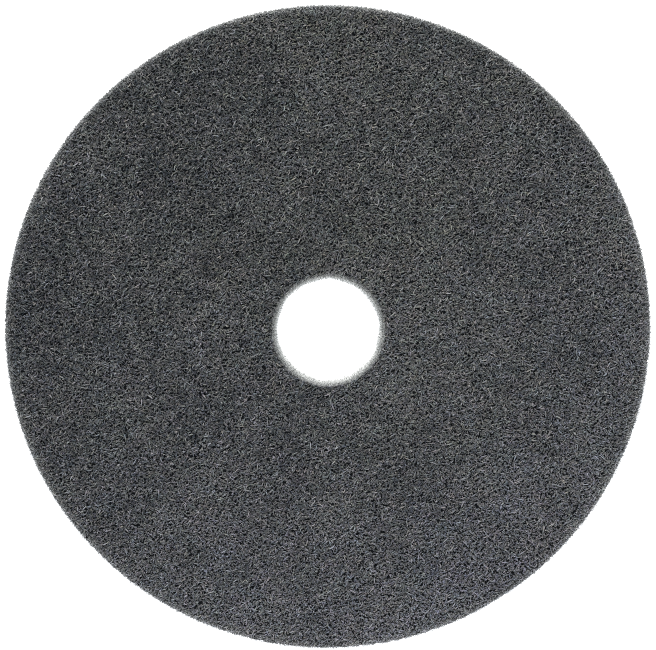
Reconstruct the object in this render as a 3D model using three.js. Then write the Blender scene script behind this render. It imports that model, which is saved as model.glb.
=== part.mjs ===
// Compact non-woven abrasive disc: one flat ring of bonded fibre web with a plain arbor bore.
// Millimetres, +Z up. The origin is the centre of the bore, on the back face that the disc lies on.
import * as THREE from "three";

// Driving dimensions
const discDiameter = 150; // across the cut rim
const boreDiameter = 25.4; // slides on a one inch arbor
const thickness = 6; // between the two flat faces
const rimEdgeRadius = 0.8; // soft edge that the cutter leaves around the rim
const boreEdgeRadius = 0.5; // tighter edge around the bore
const flatWallShare = 0.2; // least share of the thickness that stays straight between two edges

// Fineness of the round stretches
const turnSteps = 120;
const edgeSteps = 3;

// Finish of the grey web
const webColour = 0x4a4c4e;
const webRoughness = 0.95;
const webMetalness = 0;

// A rounded edge is limited by the wall that it runs along.
function fittedEdge(radius) {
  return Math.min(radius, ((1 - flatWallShare) * thickness) / 2);
}

// A quarter circle of the section, anticlockwise from the start angle.
function roundedCorner(centreRadius, centreHeight, radius, startAngle) {
  return Array.from({ length: edgeSteps + 1 }, (_, step) => {
    const angle = startAngle + (step / edgeSteps) * (Math.PI / 2);
    return new THREE.Vector2(
      centreRadius + radius * Math.cos(angle),
      centreHeight + radius * Math.sin(angle),
    );
  });
}

// The ring's section, from the back rim edge round to itself: x is the distance from the axis.
function discSection() {
  const rimEdge = fittedEdge(rimEdgeRadius);
  const boreEdge = fittedEdge(boreEdgeRadius);
  const rimCentre = discDiameter / 2 - rimEdge;
  const boreCentre = boreDiameter / 2 + boreEdge;
  const corners = [
    ...roundedCorner(rimCentre, rimEdge, rimEdge, -Math.PI / 2),
    ...roundedCorner(rimCentre, thickness - rimEdge, rimEdge, 0),
    ...roundedCorner(boreCentre, thickness - boreEdge, boreEdge, Math.PI / 2),
    ...roundedCorner(boreCentre, boreEdge, boreEdge, Math.PI),
  ];
  return [...corners, corners[0].clone()];
}

// The whole web, cut from one sheet: the section turned about the bore's axis.
function makeAbrasiveDisc() {
  const web = new THREE.LatheGeometry(discSection(), turnSteps);
  web.rotateX(Math.PI / 2);
  const finish = new THREE.MeshStandardMaterial({
    color: webColour,
    roughness: webRoughness,
    metalness: webMetalness,
  });
  const disc = new THREE.Mesh(web, finish);
  disc.name = "abrasive_disc";
  return disc;
}

const part = new THREE.Group();
part.add(makeAbrasiveDisc());

export default part;
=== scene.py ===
"""Compact abrasive disc: a ring of bonded grey fibre web with a plain bore, flat on a pale floor."""

import math

import bpy
import numpy as np
from bpy.props import FloatProperty, FloatVectorProperty, IntProperty, PointerProperty
from bpy.types import Operator, Panel, PropertyGroup
from mathutils import Matrix, Vector, noise


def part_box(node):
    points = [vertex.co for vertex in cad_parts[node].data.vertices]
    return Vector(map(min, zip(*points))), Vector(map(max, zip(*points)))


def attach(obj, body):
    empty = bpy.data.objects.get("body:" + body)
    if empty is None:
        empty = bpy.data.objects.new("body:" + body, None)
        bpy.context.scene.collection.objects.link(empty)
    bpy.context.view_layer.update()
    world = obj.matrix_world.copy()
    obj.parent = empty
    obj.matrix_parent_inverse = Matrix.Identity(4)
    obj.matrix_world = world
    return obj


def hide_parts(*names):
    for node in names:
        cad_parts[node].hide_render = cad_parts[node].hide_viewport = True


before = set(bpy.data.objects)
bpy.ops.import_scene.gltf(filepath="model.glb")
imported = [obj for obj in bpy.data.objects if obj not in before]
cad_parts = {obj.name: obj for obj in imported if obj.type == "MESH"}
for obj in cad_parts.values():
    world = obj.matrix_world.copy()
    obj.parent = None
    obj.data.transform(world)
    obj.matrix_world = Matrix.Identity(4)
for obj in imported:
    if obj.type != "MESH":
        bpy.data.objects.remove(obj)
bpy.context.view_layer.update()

bl_info = {
    "name": "Compact Abrasive Disc",
    "version": (1, 0, 0),
    "blender": (4, 5, 0),
    "location": "View3D > Sidebar > Abrasive Disc",
    "description": "Builds a flat disc of bonded fibre web with a plain bore, and a pale studio around it",
    "category": "Add Mesh",
}

MM = 0.001
CM2_PER_M2 = 1e4
NODE = "abrasive_disc"
BODY = "root"
BAKE_MAP = "OFBake"
SHADE = "fibre_shade"

# The photograph's width in pixels, and the width of the camera's sensor in millimetres
FRAME_WIDTH = 656
SENSOR_WIDTH = 36.0

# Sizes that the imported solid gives
LOW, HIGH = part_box(NODE)
THICKNESS = HIGH.z - LOW.z
RIM_RADIUS = (HIGH.x - LOW.x) / 2
BORE_RADIUS = min(math.hypot(v.co.x, v.co.y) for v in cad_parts[NODE].data.vertices)


class WebSettings(PropertyGroup):
    """Sizes and colours of the bonded fibre web."""

    fibre_width: FloatProperty(
        name="Fibre width", description="Width of a coated fibre where it comes to the surface",
        default=0.29 * MM, min=0.05 * MM, unit="LENGTH")
    loop_width: FloatProperty(
        name="Loop width", description="Width of the fine loose loops that stand out of the cut walls",
        default=0.10 * MM, min=0.02 * MM, unit="LENGTH")
    fibre_length: FloatProperty(
        name="Fibre length", description="Length of a fibre between the places where it dives into the web",
        default=1.3 * MM, min=0.3 * MM, unit="LENGTH")
    lay_turn: FloatProperty(
        name="Lay direction", description="Direction that the fibres favour, anticlockwise from +X",
        subtype="ANGLE", default=math.radians(27.0))
    lay_share: FloatProperty(
        name="Lay share", description="How strongly the fibres favour that direction",
        subtype="FACTOR", default=0.25, min=0, max=0.5)
    fibre_sag: FloatProperty(
        name="Fibre sag", description="How far a fibre's buried ends lie below its crest",
        default=0.3 * MM, min=0.0, unit="LENGTH")
    open_depth: FloatProperty(
        name="Open depth", description="Depth of the loose layer in which the surface fibres lie",
        default=0.40 * MM, min=0.0, unit="LENGTH")
    pore_depth: FloatProperty(
        name="Pore depth", description="How much deeper the fibres lie in the larger pores",
        default=0.4 * MM, min=0.0, unit="LENGTH")
    pore_size: FloatProperty(
        name="Pore size", description="Width of the larger pores",
        default=1.2 * MM, min=0.1 * MM, unit="LENGTH")
    long_per_cm2: IntProperty(
        name="Long fibres per square centimetre",
        description="Bent fibres on top of each square centimetre",
        default=92, min=1)
    short_per_cm2: IntProperty(
        name="Short fibres per square centimetre",
        description="Short fibres in each of two layers under the long ones; cut walls have twice as many",
        default=184, min=1)
    sparse_per_cm2: IntProperty(
        name="Sparse fibres per square centimetre",
        description="Wide fibres in the lowest layer of the front, and on the back",
        default=105, min=1)
    loops_per_cm2: IntProperty(
        name="Loops per square centimetre", description="Loose loops of fibre on the cut rim",
        default=200, min=1)
    bore_loops_per_cm2: IntProperty(
        name="Bore loops per square centimetre", description="Loose loops of fibre in the cut bore",
        default=1250, min=1)
    rim_fringe: FloatProperty(
        name="Rim fringe", description="How far the longest loose loops of fibre stand out of the rim",
        default=0.2 * MM, min=0.0, unit="LENGTH")
    bore_fringe: FloatProperty(
        name="Bore fringe", description="How far the longest loose loops of fibre stand into the bore",
        default=0.98 * MM, min=0.0, unit="LENGTH")
    rim_edge: FloatProperty(
        name="Rim edge", description="Rounding of the edges around the rim",
        default=0.8 * MM, min=0.0, unit="LENGTH")
    bore_edge: FloatProperty(
        name="Bore edge", description="Rounding of the edges around the bore",
        default=0.5 * MM, min=0.0, unit="LENGTH")
    core_net: FloatProperty(
        name="Core net", description="Size of the mesh net on the packed web under the surface fibres",
        default=1.1 * MM, min=0.3 * MM, unit="LENGTH")
    core_depth: FloatProperty(
        name="Core depth", description="Mean depth of the packed web under the surface",
        default=0.75 * MM, min=0.0, unit="LENGTH")
    cut_depth: FloatProperty(
        name="Cut depth", description="Depth of the packed web under the cut walls",
        default=0.2 * MM, min=0.0, unit="LENGTH")
    core_lumps: FloatProperty(
        name="Core lumps", description="How far the packed web's lumps and pores depart from that depth",
        default=0.25 * MM, min=0.0, unit="LENGTH")
    dark_fibre: FloatVectorProperty(
        name="Dark fibre", description="Fibres under a thick coat of resin and grain",
        subtype="COLOR", size=3, default=(0.0320, 0.0356, 0.0400), min=0, max=1)
    pale_fibre: FloatVectorProperty(
        name="Pale fibre", description="Fibres under a thin coat",
        subtype="COLOR", size=3, default=(0.2256, 0.2259, 0.2231), min=0, max=1)
    cut_fibre: FloatVectorProperty(
        name="Cut fibre", description="Bare fibre along the cut rim and bore",
        subtype="COLOR", size=3, default=(0.69, 0.70, 0.68), min=0, max=1)
    rim_bareness: FloatProperty(
        name="Rim bareness", description="Share of bare cut fibre along the rim",
        subtype="FACTOR", default=0.31, min=0, max=1)
    bore_bareness: FloatProperty(
        name="Bore bareness", description="Share of bare cut fibre on the bore's wall",
        subtype="FACTOR", default=0.97, min=0, max=1)
    shoulder_bareness: FloatProperty(
        name="Shoulder bareness", description="Share of bare cut fibre around the bore's two edges",
        subtype="FACTOR", default=0.75, min=0, max=1)
    rim_reach: FloatProperty(
        name="Rim reach", description="How far the bare fibre reaches from the rim onto the faces",
        default=3.5 * MM, min=0.1 * MM, unit="LENGTH")
    bore_reach: FloatProperty(
        name="Bore reach", description="How far the bare fibre reaches from the bore onto the faces",
        default=0.95 * MM, min=0.1 * MM, unit="LENGTH")
    # The packed web's colour, darkened to near black as painted shade deep in the pores
    shaded_core_colour: FloatVectorProperty(
        name="Core", description="Packed web at the bottom of the pores",
        subtype="COLOR", size=3, default=(0.0034, 0.0042, 0.0052), min=0, max=1)
    cloud_lift: FloatProperty(
        name="Cloud lift",
        description="Height in an endless cloud of tones that the web takes its own from",
        default=26.06, unit="LENGTH")
    seed: IntProperty(name="Seed", description="Start of the random lay of the fibres", default=7)


class StageSettings(PropertyGroup):
    """The pale floor, the soft light and the camera."""

    camera_tilt: FloatProperty(
        name="Camera tilt", description="Angle between the view and the disc's axis",
        subtype="ANGLE", default=math.radians(5.7))
    camera_turn: FloatProperty(
        name="Camera turn", description="Direction in which the camera leans, anticlockwise from +X",
        subtype="ANGLE", default=math.radians(101.0))
    camera_distance: FloatProperty(
        name="Camera distance", description="From the camera to the disc's front face",
        default=0.65, unit="LENGTH")
    disc_pixels: FloatProperty(
        name="Disc radius in pixels", description="Radius of the disc's outline in the photograph's frame",
        default=323.6)
    aim: FloatVectorProperty(
        name="Aim", description="Point of the front face at the middle of the picture",
        size=2, default=(-0.10 * MM, 1.33 * MM), unit="LENGTH")
    floor_colour: FloatVectorProperty(
        name="Floor", description="Pale studio floor",
        subtype="COLOR", size=3, default=(0.90, 0.90, 0.90), min=0, max=1)
    sky_colour: FloatVectorProperty(
        name="Sky colour", description="Slightly cool light from all round",
        subtype="COLOR", size=3, default=(0.89, 0.945, 1.0), min=0, max=1)
    sky_strength: FloatProperty(
        name="Sky strength", description="Even light from all round", default=1.125)
    table_glow: FloatProperty(
        name="Table glow", description="Light that comes up through the floor", default=0.6)
    lamp_colour: FloatVectorProperty(
        name="Lamp colour", description="Slightly warm light of the two lamps",
        subtype="COLOR", size=3, default=(1.0, 0.975, 0.95), min=0, max=1)
    key_power: FloatProperty(
        name="Key power", description="Power of the soft lamp behind", subtype="POWER", default=25.0)
    key_place: FloatVectorProperty(
        name="Key place", description="Where the soft lamp behind stands",
        subtype="XYZ", unit="LENGTH", default=(-0.17, 1.06, 0.95))
    key_size: FloatProperty(
        name="Key size", description="Width of the soft lamp behind",
        default=0.70, min=0.01, unit="LENGTH")
    fill_power: FloatProperty(
        name="Fill power", description="Power of the low lamp in front", subtype="POWER", default=0.18)
    fill_place: FloatVectorProperty(
        name="Fill place", description="Where the low lamp in front stands",
        subtype="XYZ", unit="LENGTH", default=(0.08, -0.22, 0.16))
    fill_size: FloatProperty(
        name="Fill size", description="Width of the low lamp in front",
        default=0.20, min=0.01, unit="LENGTH")


class Wire:
    """A shader socket that takes Python's operators; each one adds a Math node."""

    def __init__(self, finish, socket):
        self.finish = finish
        self.socket = socket

    def math(self, operation, first, second=0.0):
        return self.finish.node("ShaderNodeMath", {"operation": operation}, {0: first, 1: second})

    def __add__(self, other):
        return self.math("ADD", self, other)

    def __sub__(self, other):
        return self.math("SUBTRACT", self, other)

    def __mul__(self, other):
        return self.math("MULTIPLY", self, other)

    def __truediv__(self, other):
        return self.math("DIVIDE", self, other)

    def __rsub__(self, other):
        return self.math("SUBTRACT", other, self)

    def __rtruediv__(self, other):
        return self.math("DIVIDE", other, self)

    __radd__ = __add__
    __rmul__ = __mul__


# The Mix node's two colour inputs and its colour output
MIX_FIRST, MIX_SECOND, MIX_RESULT = 6, 7, 2

# How steeply the ridges of buried fibres fall off to both sides
RIDGE_FALL = 2.5


class Finish:
    """One material's node tree."""

    def __init__(self, name):
        self.material = bpy.data.materials.new(name)
        self.material.use_nodes = True
        self.tree = self.material.node_tree
        self.tree.nodes.clear()

    def node(self, kind, settings=None, values=None, output=0):
        """Adds a node: its settings first, then the values or links of its sockets."""
        made = self.tree.nodes.new(kind)
        for name, setting in (settings or {}).items():
            setattr(made, name, setting)
        for name, value in (values or {}).items():
            if isinstance(value, Wire):
                self.tree.links.new(value.socket, made.inputs[name])
            else:
                made.inputs[name].default_value = value
        return Wire(self, made.outputs[output]) if made.outputs else None

    def place(self, lift=0.0):
        """Where a point lies in the disc's own frame, in metres, lifted by some height."""
        point = self.node("ShaderNodeTexCoord", output="Object")
        if lift:
            point = self.node("ShaderNodeVectorMath", {"operation": "ADD"}, {0: point, 1: (0, 0, lift)})
        return point

    def speckle(self, size, detail=2.0, lift=0.0):
        """Even noise from 0 to 1, with blots of about the given size; each lift gives other blots."""
        values = {"Vector": self.place(lift), "Scale": 1 / size, "Detail": detail}
        return self.node("ShaderNodeTexNoise", {"noise_dimensions": "3D"}, values, "Fac")

    def wander(self, size, lift=0.0):
        """The same noise around 0."""
        return self.speckle(size, lift=lift) - 0.5

    def ridges(self, size):
        """Winding ridges, 1 along their crests, that look like buried fibres."""
        across = self.speckle(size, 1.0) * 2 - 1
        return 1 - self.magnitude(across) * RIDGE_FALL

    def cast(self, size, red, blue):
        """A tint around white, whose red and blue wander by themselves in blots of the given size."""
        values = {"Vector": self.place(), "Scale": 1 / size, "Detail": 2.0}
        blots = self.node("ShaderNodeTexNoise", {"noise_dimensions": "3D"}, values, "Color")
        values = {0: blots, 1: (red, 0, blue), 2: (1 - red / 2, 1, 1 - blue / 2)}
        return self.node("ShaderNodeVectorMath", {"operation": "MULTIPLY_ADD"}, values)

    def ramp(self, value, start, end, kind="SMOOTHSTEP"):
        """A step from 0 at start to 1 at end."""
        values = {"Value": value, "From Min": start, "From Max": end}
        return self.node("ShaderNodeMapRange", {"interpolation_type": kind}, values)

    def magnitude(self, value):
        """A value without its sign."""
        return self.node("ShaderNodeMath", {"operation": "ABSOLUTE"}, {0: value})

    def mix(self, share, first, second, blend="MIX"):
        """A colour between two others."""
        settings = {"data_type": "RGBA", "blend_type": blend, "clamp_factor": True}
        values = {"Factor": share, MIX_FIRST: first, MIX_SECOND: second}
        return self.node("ShaderNodeMix", settings, values, MIX_RESULT)

    def radius(self):
        """Distance from the bore's axis."""
        flat = self.node("ShaderNodeVectorMath", {"operation": "MULTIPLY"}, {0: self.place(), 1: (1, 1, 0)})
        return self.node("ShaderNodeVectorMath", {"operation": "LENGTH"}, {0: flat}, "Value")

    def along(self, direction):
        """How far a point lies from the origin in some direction."""
        values = {0: self.place(), 1: direction}
        return self.node("ShaderNodeVectorMath", {"operation": "DOT_PRODUCT"}, values, "Value")

    def height(self):
        """Height above the floor."""
        return self.along((0, 0, 1))

    def surface(self, values):
        """The one shader of the material."""
        shader = self.node("ShaderNodeBsdfPrincipled", None, values)
        self.node("ShaderNodeOutputMaterial", None, {"Surface": shader})
        return self.material


def colour(values):
    """A colour property as a shader socket takes it."""
    return (*values, 1.0)


def shared_finish(name, make, web):
    """The material of that name, made at its first use."""
    return bpy.data.materials.get(name) or make(name, web)


# Depths under the two faces between which a cut wall sets in
WALL_START, WALL_FULL = 0.3 * MM, 1.2 * MM

# Distances behind the bore's wall between which its bareness ends
BORE_FULL, BORE_END = 0.3 * MM, 0.8 * MM

# How far inside the bore its shoulder would be fully bare, and how much less bare the rim's wall is
SHOULDER_PAST = 0.4 * MM
RIM_WALL_COAT = 0.35


def cut_share(finish, web):
    """How bare the fibre is: most on the bore's wall, less at its edges and the rim, none further in."""
    radius = finish.radius()
    from_middle = finish.magnitude(finish.height() - (LOW.z + HIGH.z) / 2)
    rim = finish.ramp(radius, RIM_RADIUS - web.rim_reach, RIM_RADIUS, "LINEAR")
    shoulder = finish.ramp(radius, BORE_RADIUS + web.bore_reach, BORE_RADIUS - SHOULDER_PAST, "LINEAR")
    inside = finish.ramp(from_middle, THICKNESS / 2 - WALL_START, THICKNESS / 2 - WALL_FULL)
    wall = inside * finish.ramp(radius, BORE_RADIUS + BORE_END, BORE_RADIUS + BORE_FULL)
    near_rim = rim * rim
    edges = near_rim * near_rim * web.rim_bareness * (1 - inside * RIM_WALL_COAT)
    edges = edges + shoulder * shoulder * shoulder * web.shoulder_bareness * (1 - wall)
    return edges + wall * web.bore_bareness


# Blots of resin along each fibre, and patches of paler and darker fibres
BLOT_SIZE, BLOT_TONE, BLOT_ROUGHNESS = 0.5 * MM, 0.8, 0.4
FINE_PATCH, FINE_PATCH_TONE = 3 * MM, 0.6
BROAD_PATCH, BROAD_PATCH_TONE = 12 * MM, 0.65
CLOUD_SIZE = 50 * MM

# The coat is paler from this share of the rim's radius outwards, and the web is painted paler towards one
# side: painted light from the low lamp in front
RIM_PALING_START, RIM_PALING_TONE = 0.7, 0.06
PAINTED_LIGHT_SIDE, PAINTED_LIGHT_TONE = (0.5, -1.0, 0.0), 0.21

# The tone that is as pale as a fibre gets, and the shades between which a cut end shows bare
PALEST_TONE = 1.6
CUT_COATED, CUT_BARE = -0.3, 0.3

# Warm and cool casts: one across the disc, and two in blots of their own with their red and blue
WARM, COOL = (1, 1, 0.73, 1), (1, 1, 1.22, 1)
BROAD_CAST = 150 * MM
PATCH_CAST = (4 * MM, 0.25, 0.25)
FIBRE_CAST = (0.7 * MM, 0.5, 0.7)

FIBRE_ROUGHNESS = 0.8


def fibre_finish(name, web):
    """Coated fibres: every one has its own shade, with blots of resin and warm or cool casts."""
    finish = Finish(name)
    shade = finish.node("ShaderNodeAttribute", {"attribute_name": SHADE}, None, "Fac")
    blots = finish.wander(BLOT_SIZE)
    clouds = finish.wander(CLOUD_SIZE, web.cloud_lift)
    patches = finish.wander(BROAD_PATCH) * BROAD_PATCH_TONE + finish.wander(FINE_PATCH) * FINE_PATCH_TONE
    # The tone grows paler from this share of the rim's radius outwards
    rim_paling = finish.ramp(finish.radius(), RIM_PALING_START * RIM_RADIUS, RIM_RADIUS)
    # Painted light: the tone grows paler towards the side of the low lamp in front
    painted_light = finish.along(PAINTED_LIGHT_SIDE) / RIM_RADIUS
    tone = shade + blots * BLOT_TONE + clouds + patches + rim_paling * RIM_PALING_TONE + painted_light * PAINTED_LIGHT_TONE
    tone = finish.ramp(tone, 0.0, PALEST_TONE, "LINEAR")
    coat = finish.mix(tone, colour(web.dark_fibre), colour(web.pale_fibre))
    broad = finish.mix(finish.speckle(BROAD_CAST, lift=web.cloud_lift), WARM, COOL)
    for cast in (broad, finish.cast(*PATCH_CAST), finish.cast(*FIBRE_CAST)):
        coat = finish.mix(1.0, coat, cast, "MULTIPLY")
    bareness = cut_share(finish, web) * finish.ramp(shade, CUT_COATED, CUT_BARE)
    bare = finish.mix(bareness, coat, colour(web.cut_fibre))
    roughness = FIBRE_ROUGHNESS + blots * BLOT_ROUGHNESS
    return finish.surface({"Base Color": bare, "Roughness": roughness, "Specular IOR Level": 0.0})


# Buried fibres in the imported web: spacing and height, where their crests set in, and their paleness
RIDGE_SIZE, RIDGE_HEIGHT = 0.9 * MM, 0.3 * MM
CREST_START, CREST_FULL, CREST_PALENESS = 0.55, 0.95, 0.6
CORE_BARENESS = 0.9
CORE_ROUGHNESS, CREST_SMOOTHNESS, CORE_SHINE = 0.95, 0.2, 0.1


def core_finish(name, web):
    """Packed web at the bottom of the pores, darkened to near black as painted shade of the deep pores,
    with the bump of buried fibres.
    """
    finish = Finish(name)
    ridges = finish.ridges(RIDGE_SIZE)
    crests = finish.ramp(ridges, CREST_START, CREST_FULL) * CREST_PALENESS
    # Painted shade: the packed web between the pale crests is near black, standing for the shade deep in
    # the pores
    coat = finish.mix(crests, colour(web.shaded_core_colour), colour(web.pale_fibre))
    bare = finish.mix(cut_share(finish, web) * CORE_BARENESS, coat, colour(web.cut_fibre))
    heights = {"Height": ridges, "Distance": RIDGE_HEIGHT, "Strength": 1.0}
    bump = finish.node("ShaderNodeBump", None, heights)
    roughness = CORE_ROUGHNESS - ridges * CREST_SMOOTHNESS
    return finish.surface({
        "Base Color": bare, "Roughness": roughness, "Normal": bump, "Specular IOR Level": CORE_SHINE})


def place_piece(name, mesh, material):
    """Puts a finished mesh into the scene as a piece that moves with the disc."""
    piece = bpy.data.objects.new(name, mesh)
    bpy.context.scene.collection.objects.link(piece)
    mesh.materials.clear()
    mesh.materials.append(material)
    mesh.polygons.foreach_set("use_smooth", np.ones(len(mesh.polygons), bool))
    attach(piece, BODY)
    return piece


def numbers(items, name, width):
    """One attribute of all of a mesh's items as an array with a row for each."""
    found = np.empty(len(items) * width, np.float32)
    items.foreach_get(name, found)
    return found.reshape(-1, width).astype(float)


def netted(mesh, net):
    """A copy of a closed mesh on an even net of small quads."""
    rough = bpy.data.objects.new("net", mesh.copy())
    bpy.context.scene.collection.objects.link(rough)
    remesh = rough.modifiers.new("net", "REMESH")
    remesh.mode = "VOXEL"
    remesh.voxel_size = net
    made = bpy.data.meshes.new_from_object(rough.evaluated_get(bpy.context.evaluated_depsgraph_get()))
    bpy.data.objects.remove(rough)
    return made


def lumpy(points, size):
    """Noise from about -1 to 1 at each point, with lumps of about the given size."""
    return np.array([noise.noise(Vector(p)) for p in points / size])


# A square map of four quarters: the faces' radius in a quarter, and the walls' four strips in one
QUARTER = 0.5
FACE_REACH = 0.24
STRIP_MARGIN, STRIP_LENGTH, STRIP_STEP, STRIP_WIDTH = 0.02, 0.46, 0.12, 0.1


def quadrant_map(mesh):
    """Lays the front, the back, the rim and the bore out in the four quarters of a square map."""
    layer = mesh.uv_layers.new(name=BAKE_MAP)
    corner = numbers(mesh.vertices, "co", 3)[numbers(mesh.loops, "vertex_index", 1)[:, 0].astype(int)]
    sides = numbers(mesh.polygons, "loop_total", 1)[:, 0].astype(int)
    owner = np.repeat(np.arange(len(mesh.polygons)), sides)
    centre = numbers(mesh.polygons, "center", 3)[owner]
    upward = numbers(mesh.polygons, "normal", 3)[owner, 2]
    radius = np.hypot(centre[:, 0], centre[:, 1])
    middle = (RIM_RADIUS + BORE_RADIUS) / 2
    wall = np.minimum(RIM_RADIUS - radius, radius - BORE_RADIUS) < np.minimum(
        centre[:, 2] - LOW.z, HIGH.z - centre[:, 2])
    span = FACE_REACH / RIM_RADIUS
    flat = QUARTER / 2 + corner[:, :2] * span
    turn = np.arctan2(centre[:, 1], centre[:, 0])
    over = np.arctan2(corner[:, 1], corner[:, 0]) - turn
    over = (over + math.pi) % (2 * math.pi) - math.pi
    quarter = np.floor((turn + math.pi) / (math.pi / 2)).clip(0, 3)
    along = (turn + over + math.pi) / (math.pi / 2) - quarter
    level = (corner[:, 2] - LOW.z) * STRIP_WIDTH / THICKNESS
    across = STRIP_MARGIN + STRIP_STEP * quarter + level
    strip = np.stack([STRIP_MARGIN + STRIP_LENGTH * along, across], 1)
    front = (upward > 0)[:, None]
    faces = np.where(front, flat, flat + QUARTER)
    walls = np.where((radius > middle)[:, None], strip + (0.0, QUARTER), strip + (QUARTER, 0.0))
    layer.uv.foreach_set("vector", np.where(wall[:, None], walls, faces).astype(np.float32).ravel())


# Two sizes of lumps and their shares, and how much flatter the lumps are under the cut walls
BROAD_LUMP, BROAD_LUMP_SHARE = 1.5 * MM, 0.65
FINE_LUMP, FINE_LUMP_SHARE = 0.8 * MM, 0.35
WALL_FLATNESS = 0.7
LEAST_DEPTH = 0.05 * MM


class ABRASIVE_OT_packed_web(Operator):
    """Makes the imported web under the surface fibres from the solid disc"""

    bl_idname = "abrasive.packed_web"
    bl_label = "Packed Web"

    def execute(self, context):
        web = context.scene.abrasive_web
        mesh = netted(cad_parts[NODE].data, web.core_net)
        points = numbers(mesh.vertices, "co", 3)
        outward = numbers(mesh.vertices, "normal", 3)
        lumps = BROAD_LUMP_SHARE * lumpy(points, BROAD_LUMP) + FINE_LUMP_SHARE * lumpy(points, FINE_LUMP)
        wall = np.hypot(outward[:, 0], outward[:, 1])
        depth = web.core_depth + (web.cut_depth - web.core_depth) * wall
        depth = depth - web.core_lumps * lumps * (1 - WALL_FLATNESS * wall)
        depth = depth.clip(LEAST_DEPTH, THICKNESS / 4)
        mesh.vertices.foreach_set("co", (points - outward * depth[:, None]).astype(np.float32).ravel())
        mesh.update()
        quadrant_map(mesh)
        piece = place_piece("packed_web", mesh, shared_finish("packed_web", core_finish, web))
        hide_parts(NODE)
        return {"FINISHED"}


# A fibre has three sides; a straight one has three stations along it and a bent one four
SIDES = 3
STRAIGHT, BENT = 3, 4

# How much fibres differ in length, width and sag, and how strongly they bend
LENGTH_RANGE = (0.55, 1.45)
WIDTH_RANGE = (0.65, 1.35)
SAG_RANGE = (0.5, 1.5)
BEND_SPREAD = 1.3

# Share of the full length that a short fibre has
SHORT = 0.8

# The lumpiness at which a pore starts, and how much more of it makes the pore's full depth
PORE_START, PORE_SLOPE = 0.25, 0.35

# Tufts of loose loops, and how much longer or shorter their loops are
TUFT_SIZE, TUFT_SHARE = 5 * MM, 0.5

# A fibre steeper than this takes its sides from another direction
STEEP = 0.8


def fibre_paths(rng, centres, stations, length, width, crest, dive, web):
    """Paths and widths of fibres that rise to a crest over a flat patch and dive again."""
    count = len(centres)
    share = np.linspace(-0.5, 0.5, stations)
    length = length * rng.uniform(*LENGTH_RANGE, (count, 1))
    heading = rng.uniform(0, 2 * math.pi, (count, 1))
    heading -= web.lay_share * np.sin(2 * (heading - web.lay_turn))
    bend = rng.normal(0, BEND_SPREAD, (count, 1))
    ahead = length * share * np.sinc(bend * share / math.pi)
    aside = length * bend * share**2 / 2 * np.sinc(bend * share / (2 * math.pi)) ** 2
    path = np.empty((count, stations, 3))
    path[:, :, 0] = centres[:, :1] + ahead * np.cos(heading) - aside * np.sin(heading)
    path[:, :, 1] = centres[:, 1:] + ahead * np.sin(heading) + aside * np.cos(heading)
    path[:, :, 2] = crest[:, None] - dive[:, None] * (2 * share) ** 2
    return path, width * rng.uniform(*WIDTH_RANGE, (count, 1)) * np.ones(stations)


def pores(centres, size):
    """How deep in a pore each place of a flat patch lies: 0 on the web around it, 1 over its middle."""
    lumps = lumpy(np.insert(centres, 2, size / 3, 1), size)
    return ((lumps - PORE_START) / PORE_SLOPE).clip(0, 1)


def lying_fibres(rng, centres, stations, length, width, depths, web):
    """Fibres of the surface itself, with their crests between two depths, or deeper in a pore."""
    count = len(centres)
    crest = -width / 2 - rng.uniform(*depths, count) - web.pore_depth * pores(centres, web.pore_size)
    dive = web.fibre_sag * rng.uniform(*SAG_RANGE, count)
    return fibre_paths(rng, centres, stations, length, width, crest, dive, web)


def kept_inside(path, inset):
    """Bends the fibres that would stick out of the cut walls along them."""
    reach = np.hypot(path[..., 0], path[..., 1])
    path[..., :2] *= (reach.clip(BORE_RADIUS + inset, RIM_RADIUS - inset) / reach)[..., None]
    return path


def loose_loops(rng, centres, stations, fringe, web):
    """Thin loops of fibre that stand out of a cut wall in tufts."""
    tufts = 1 + TUFT_SHARE * lumpy(np.insert(centres, 2, fringe, 1), TUFT_SIZE)
    crest = fringe * tufts * rng.uniform(0, 1, len(centres))
    length = SHORT * web.fibre_length
    return fibre_paths(rng, centres, stations, length, web.loop_width, crest, crest + web.fibre_sag, web)


def swept(rng, path, width):
    """Three-sided fibres around the paths: a tip, a ring at each station between, and a tip."""
    along = np.gradient(path, axis=1)
    along /= np.linalg.norm(along, axis=2, keepdims=True)
    upright = np.abs(along[:, :, 2:]) > STEEP
    reference = np.where(upright, (1.0, 0.0, 0.0), (0.0, 0.0, 1.0))
    side = np.cross(reference, along)
    side /= np.linalg.norm(side, axis=2, keepdims=True)
    over = np.cross(along, side)
    roll = rng.uniform(0, 2 * math.pi, (len(path), 1, 1))
    corner = roll + np.arange(SIDES) * (2 * math.pi / SIDES)
    ring = np.cos(corner)[..., None] * side[:, 1:-1, None]
    ring = ring + np.sin(corner)[..., None] * over[:, 1:-1, None]
    rings = path[:, 1:-1, None] + ring * (width[:, 1:-1] / 2)[:, :, None, None]
    return np.concatenate([path[:, :1], rings.reshape(len(path), -1, 3), path[:, -1:]], 1)


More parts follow.
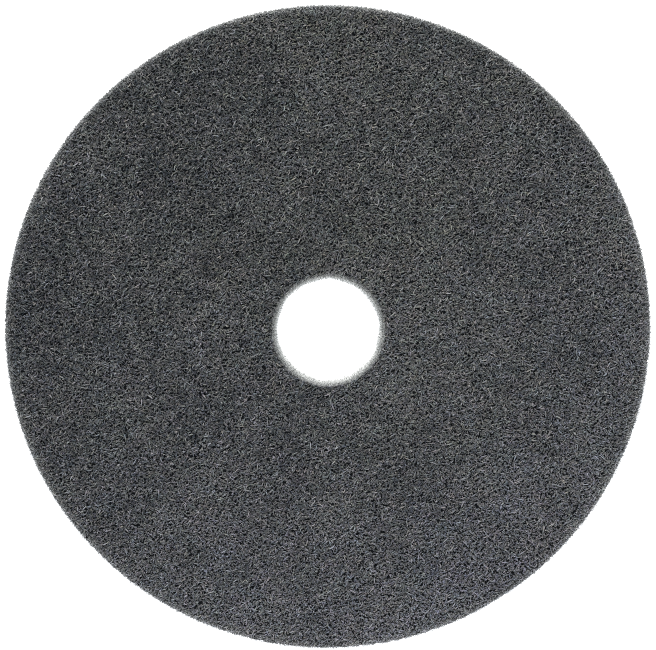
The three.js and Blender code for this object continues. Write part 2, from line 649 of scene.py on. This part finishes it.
def fibre_faces(stations):
    """Corners of one fibre's triangles, and where each lies on a map of the fibre laid open."""
    last = 1 + SIDES * (stations - 2)

    def ring(station, side):
        return 1 + SIDES * (station - 1) + side % SIDES

    faces = []
    opened = []
    for side in range(SIDES):
        left, right = side / SIDES, (side + 1) / SIDES
        middle = (left + right) / 2
        faces.append((0, ring(1, side + 1), ring(1, side)))
        opened.append(((middle, 0), (right, 1), (left, 1)))
        for station in range(1, stations - 2):
            near, far = station, station + 1
            faces.append((ring(near, side), ring(near, side + 1), ring(far, side + 1)))
            opened.append(((left, near), (right, near), (right, far)))
            faces.append((ring(near, side), ring(far, side + 1), ring(far, side)))
            opened.append(((left, near), (right, far), (left, far)))
        end = stations - 2
        faces.append((ring(end, side), ring(end, side + 1), last))
        opened.append(((left, end), (right, end), (middle, stations - 1)))
    return np.array(faces), np.array(opened) / (1, stations - 1)


# Each fibre's cell of the map: its margin, and the share that the fibre fills
CELL_MARGIN, CELL_FILL = 0.1, 0.8


def fibre_mesh(name, points, shade):
    """One mesh of many fibres, with each one's own shade and its own cell of a square map."""
    count, each = points.shape[:2]
    faces, opened = fibre_faces((each - 2) // SIDES + 2)
    corners = (faces[None] + each * np.arange(count)[:, None, None]).reshape(-1)
    mesh = bpy.data.meshes.new(name)
    mesh.vertices.add(count * each)
    mesh.vertices.foreach_set("co", points.astype(np.float32).ravel())
    mesh.loops.add(len(corners))
    mesh.loops.foreach_set("vertex_index", corners.astype(np.int32))
    mesh.polygons.add(len(corners) // 3)
    mesh.polygons.foreach_set("loop_start", np.arange(0, len(corners), 3, dtype=np.int32))
    mesh.update(calc_edges=True)
    mesh.validate()
    tones = mesh.attributes.new(SHADE, "FLOAT", "POINT")
    tones.data.foreach_set("value", np.repeat(shade, each).astype(np.float32))
    cells = math.ceil(math.sqrt(count))
    cell = np.stack([np.arange(count) % cells, np.arange(count) // cells], 1)
    laid = (cell[:, None, None] + CELL_MARGIN + CELL_FILL * opened) / cells
    layer = mesh.uv_layers.new(name=BAKE_MAP)
    layer.uv.foreach_set("vector", laid.astype(np.float32).ravel())
    return mesh


def rounded_off(distance, radius):
    """How far a rounded edge falls below the face at a distance inside the edge."""
    inside = (radius - distance).clip(0, radius)
    return radius - np.sqrt(radius**2 - inside**2)


def onto_face(points, web, front):
    """Bends flat patches onto the front face, or turns them over onto the back."""
    east, north, height = np.moveaxis(points, -1, 0)
    radius = np.hypot(east, north)
    fall = rounded_off(RIM_RADIUS - radius, web.rim_edge) + rounded_off(radius - BORE_RADIUS, web.bore_edge)
    if front:
        return np.stack([east, north, HIGH.z + height - fall], -1)
    return np.stack([east, -north, LOW.z + (fall - height).clip(0)], -1)


# Least distance of a wall's fibres from the two faces
WALL_MARGIN = 0.05 * MM


def onto_wall(points, radius, edge, outward):
    """Bends flat patches around the rim, outward 1, or around the bore, outward -1."""
    turn = outward * points[..., 0] / radius
    level = points[..., 1].clip(WALL_MARGIN, THICKNESS - WALL_MARGIN)
    away = radius + outward * (points[..., 2] - rounded_off(np.minimum(level, THICKNESS - level), edge))
    return np.stack([away * np.cos(turn), away * np.sin(turn), LOW.z + level], -1)


# The golden share, and how far points stray from an even spread, in parts of their mean spacing
GOLDEN = (math.sqrt(5) - 1) / 2
STRAY = 0.45


def even_spread(rng, count):
    """Points that fill a unit square evenly: one coordinate steps along, one turns by golden shares."""
    step = np.arange(count)
    return (step + 0.5) / count, (step * GOLDEN + rng.uniform()) % 1


def jittered(rng, points, area):
    """Points moved at random by a share of their mean spacing."""
    return points + rng.normal(0, STRAY * math.sqrt(area / len(points)), points.shape)


def on_strip(rng, count, length, width):
    """Even but irregular points on a strip."""
    along, across = even_spread(rng, count)
    return jittered(rng, np.stack([along * length, across * width], 1), length * width)


def on_ring(rng, count, inner, outer):
    """Even but irregular points between two circles."""
    along, across = even_spread(rng, count)
    radius = np.sqrt(inner**2 + (outer**2 - inner**2) * along)
    turn = 2 * math.pi * across
    points = np.stack([radius * np.cos(turn), radius * np.sin(turn)], 1)
    return jittered(rng, points, math.pi * (outer**2 - inner**2))


# How far the fibres' tones spread, how lopsided that spread is, and the middle tones on the walls
FACE_SPREAD, WALL_SPREAD = 0.26, 0.17
SPREAD_SHAPE = 2.0
WALL_SHADE, LOOP_SHADE = 0.5, 0.45


def shades(rng, count, middle, spread):
    """Each fibre's own tone around a middle one: most are coated alike, and a few are much paler."""
    return middle + spread * (rng.gamma(SPREAD_SHAPE, 1.0, count) - SPREAD_SHAPE)


# Least distances of the faces' fibres from the cut walls, at their middles and all along
MIDDLE_INSET, PATH_INSET = 0.35 * MM, 0.2 * MM


class ABRASIVE_OT_face_fibres(Operator):
    """Lays the coated fibres that show on the front and the back face"""

    bl_idname = "abrasive.face_fibres"
    bl_label = "Face Fibres"

    def execute(self, context):
        web = context.scene.abrasive_web
        material = shared_finish("coated_fibre", fibre_finish, web)
        area = math.pi * (RIM_RADIUS**2 - BORE_RADIUS**2) * CM2_PER_M2
        length, width, depth = web.fibre_length, web.fibre_width, web.open_depth
        lowest = (0.6 * depth, 1.2 * depth)
        # Name, stations, length, width, depths of the crests, fibres per square centimetre and middle tone
        layers = (
            ("front_top", BENT, 1.4 * length, 0.8 * width, (0, depth / 4), web.long_per_cm2, 0.58),
            ("front_middle", STRAIGHT, SHORT * length, width, (0, depth / 2), web.short_per_cm2, 0.54),
            ("front_deep", STRAIGHT, SHORT * length, width, (depth / 3, depth), web.short_per_cm2, 0.64),
            ("front_lowest", STRAIGHT, length, 1.7 * width, lowest, web.sparse_per_cm2, 0.75),
            ("back_top", STRAIGHT, length, 1.4 * width, (0, depth / 2), web.sparse_per_cm2, 0.5),
        )
        for number, (layer, stations, length, width, depths, per_cm2, shade) in enumerate(layers):
            rng = np.random.default_rng([web.seed, number])
            count = round(area * per_cm2)
            centres = on_ring(rng, count, BORE_RADIUS + MIDDLE_INSET, RIM_RADIUS - MIDDLE_INSET)
            path, widths = lying_fibres(rng, centres, stations, length, width, depths, web)
            points = swept(rng, kept_inside(path, PATH_INSET), widths)
            points = onto_face(points, web, layer.startswith("front"))
            mesh = fibre_mesh(f"{layer}_fibres", points, shades(rng, count, shade, FACE_SPREAD))
            place_piece(mesh.name, mesh, material)
        return {"FINISHED"}


# The walls' own stream of random draws
WALL_STREAM = 10


class ABRASIVE_OT_wall_fibres(Operator):
    """Lays the cut fibres of the rim and the bore, with the loose loops that stand out"""

    bl_idname = "abrasive.wall_fibres"
    bl_label = "Wall Fibres"

    def execute(self, context):
        web = context.scene.abrasive_web
        material = shared_finish("coated_fibre", fibre_finish, web)
        rim = ("rim", RIM_RADIUS, web.rim_edge, web.rim_fringe, web.loops_per_cm2, 1)
        bore = ("bore", BORE_RADIUS, web.bore_edge, web.bore_fringe, web.bore_loops_per_cm2, -1)
        for number, (name, radius, edge, fringe, per_cm2, outward) in enumerate((rim, bore)):
            rng = np.random.default_rng([web.seed, WALL_STREAM, number])
            length = 2 * math.pi * radius
            area = length * THICKNESS * CM2_PER_M2
            centres = on_strip(rng, round(area * 2 * web.short_per_cm2), length, THICKNESS)
            depths = (0, web.cut_depth)
            short = SHORT * web.fibre_length
            lying = lying_fibres(rng, centres, STRAIGHT, short, web.fibre_width, depths, web)
            points = onto_wall(swept(rng, *lying), radius, edge, outward)
            mesh = fibre_mesh(f"{name}_fibres", points, shades(rng, len(points), WALL_SHADE, WALL_SPREAD))
            place_piece(mesh.name, mesh, material)
            centres = on_strip(rng, round(area * per_cm2), length, THICKNESS)
            loops = loose_loops(rng, centres, STRAIGHT, fringe, web)
            points = onto_wall(swept(rng, *loops), radius, edge, outward)
            mesh = fibre_mesh(f"{name}_fringe", points, shades(rng, len(points), LOOP_SHADE, WALL_SPREAD))
            place_piece(mesh.name, mesh, material)
        return {"FINISHED"}


def aimed(light, place, aim):
    """Puts a light in a place and points it at another."""
    light.location = place
    light.rotation_euler = (Vector(aim) - Vector(place)).to_track_quat("-Z", "Y").to_euler()
    bpy.context.scene.collection.objects.link(light)
    return light


# Half the floor's width in metres, its faint clouds and its roughness
FLOOR_HALF = 3.0
FLOOR_CLOUD, FLOOR_CLOUD_SHARE = 0.4, 0.02
FLOOR_ROUGHNESS = 0.9
WHITE = (1, 1, 1, 1)

# Width of the soft edge of each pixel
PIXEL_BLUR = 1.0


def floor_finish(stage):
    """Smooth pale floor with a trace of cloudiness."""
    finish = Finish("pale_floor")
    clouds = finish.speckle(FLOOR_CLOUD)
    tint = finish.mix(clouds * FLOOR_CLOUD_SHARE, colour(stage.floor_colour), WHITE)
    return finish.surface({
        "Base Color": tint, "Roughness": FLOOR_ROUGHNESS, "Specular IOR Level": 0.0,
        "Emission Color": WHITE, "Emission Strength": stage.table_glow})


class ABRASIVE_OT_stage(Operator):
    """Makes the pale floor, the soft studio light and the camera"""

    bl_idname = "abrasive.stage"
    bl_label = "Stage"

    def execute(self, context):
        stage = context.scene.abrasive_stage
        scene = context.scene
        signs = ((-1, -1), (1, -1), (1, 1), (-1, 1))
        corners = [(FLOOR_HALF * east, FLOOR_HALF * north, 0) for east, north in signs]
        mesh = bpy.data.meshes.new("floor")
        mesh.from_pydata(corners, [], [(0, 1, 2, 3)])
        mesh.materials.append(floor_finish(stage))
        floor = bpy.data.objects.new("floor", mesh)
        scene.collection.objects.link(floor)

        world = bpy.data.worlds.new("studio")
        world.use_nodes = True
        sky = world.node_tree.nodes["Background"]
        sky.inputs["Color"].default_value = colour(stage.sky_colour)
        sky.inputs["Strength"].default_value = stage.sky_strength
        scene.world = world

        lamps = (
            ("key", stage.key_power, stage.key_place, stage.key_size),
            ("fill", stage.fill_power, stage.fill_place, stage.fill_size),
        )
        for name, power, place, size in lamps:
            lamp = bpy.data.lights.new(name, "AREA")
            lamp.shape = "DISK"
            lamp.size = size
            lamp.energy = power
            lamp.color = stage.lamp_colour
            light = aimed(bpy.data.objects.new(name, lamp), place, (0, 0, 0))
            light.visible_camera = False

        lens = bpy.data.cameras.new("camera")
        lens.sensor_width = SENSOR_WIDTH
        lens.lens = SENSOR_WIDTH * stage.disc_pixels / FRAME_WIDTH * stage.camera_distance / RIM_RADIUS
        target = Vector((*stage.aim, HIGH.z))
        lean = math.sin(stage.camera_tilt)
        turn = stage.camera_turn
        away = Vector((lean * math.cos(turn), lean * math.sin(turn), math.cos(stage.camera_tilt)))
        camera = bpy.data.objects.new("camera", lens)
        camera.location = target + away * stage.camera_distance
        ahead = -away
        right = ahead.cross(Vector((0, 1, 0))).normalized()
        above = right.cross(ahead)
        camera.rotation_euler = Matrix((right, above, away)).transposed().to_euler()
        scene.collection.objects.link(camera)
        scene.camera = camera
        scene.view_settings.view_transform = "Standard"
        scene.cycles.use_denoising = False
        scene.cycles.filter_width = PIXEL_BLUR
        return {"FINISHED"}


class ABRASIVE_PT_sidebar(Panel):
    """Lists the disc's pieces and settings in the sidebar"""

    bl_label = "Abrasive Disc"
    bl_space_type = "VIEW_3D"
    bl_region_type = "UI"
    bl_category = "Abrasive Disc"

    def draw(self, context):
        for operator in OPERATORS:
            self.layout.operator(operator.bl_idname)
        for settings in (context.scene.abrasive_web, context.scene.abrasive_stage):
            column = self.layout.column()
            for name in settings.__annotations__:
                column.prop(settings, name)


OPERATORS = (ABRASIVE_OT_packed_web, ABRASIVE_OT_face_fibres, ABRASIVE_OT_wall_fibres, ABRASIVE_OT_stage)
CLASSES = (WebSettings, StageSettings, *OPERATORS, ABRASIVE_PT_sidebar)


def register():
    for cls in CLASSES:
        bpy.utils.register_class(cls)
    bpy.types.Scene.abrasive_web = PointerProperty(type=WebSettings)
    bpy.types.Scene.abrasive_stage = PointerProperty(type=StageSettings)


def unregister():
    del bpy.types.Scene.abrasive_stage
    del bpy.types.Scene.abrasive_web
    for cls in reversed(CLASSES):
        bpy.utils.unregister_class(cls)


def main():
    register()
    bpy.ops.abrasive.packed_web()
    bpy.ops.abrasive.face_fibres()
    bpy.ops.abrasive.wall_fibres()
    bpy.ops.abrasive.stage()


if __name__ == "__main__":
    main()
